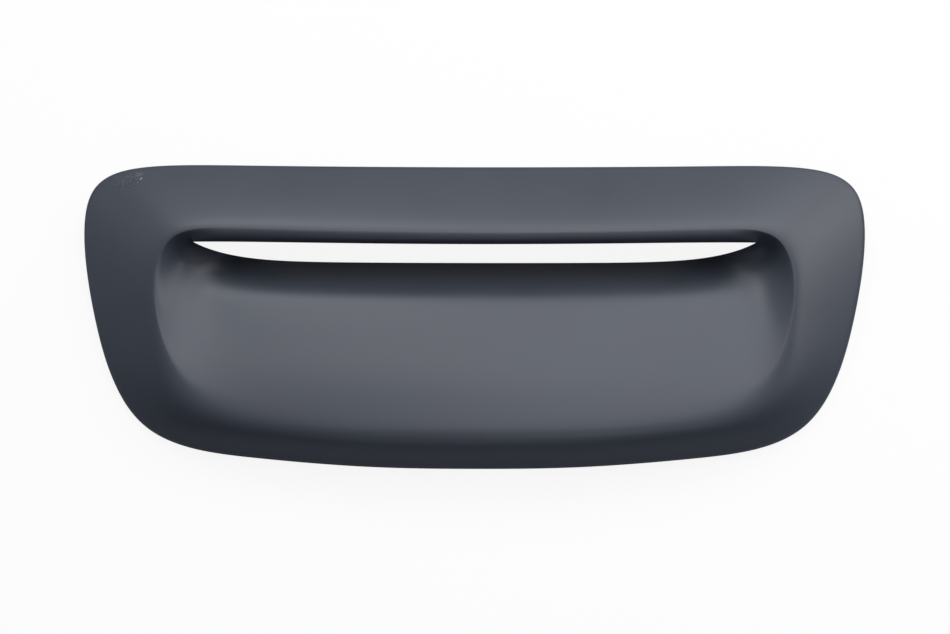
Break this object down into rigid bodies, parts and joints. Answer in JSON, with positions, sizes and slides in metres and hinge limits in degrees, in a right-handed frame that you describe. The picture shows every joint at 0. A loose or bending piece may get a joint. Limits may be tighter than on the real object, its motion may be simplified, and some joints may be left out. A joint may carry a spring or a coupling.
{
  "type": "hood scoop trim",
  "caption": "Wide crowned trim moulding with a sunken ramp that runs back to an air slot under a raised lip; screw posts underneath.",
  "frame": {"origin": "middle of the bounding box in plan, at the lowest points of the rim, which lie on the table", "axes": "+X to the right seen from the front edge, +Y from the front edge to the rear edge, +Z out of the hood"},
  "size_m": [0.5528, 0.2198, 0.0557],
  "materials": {
    "moulding": "satin"
  },
  "bodies": {
    "root": {"scoop_moulding": "moulding"}
  },
  "joints": []
}
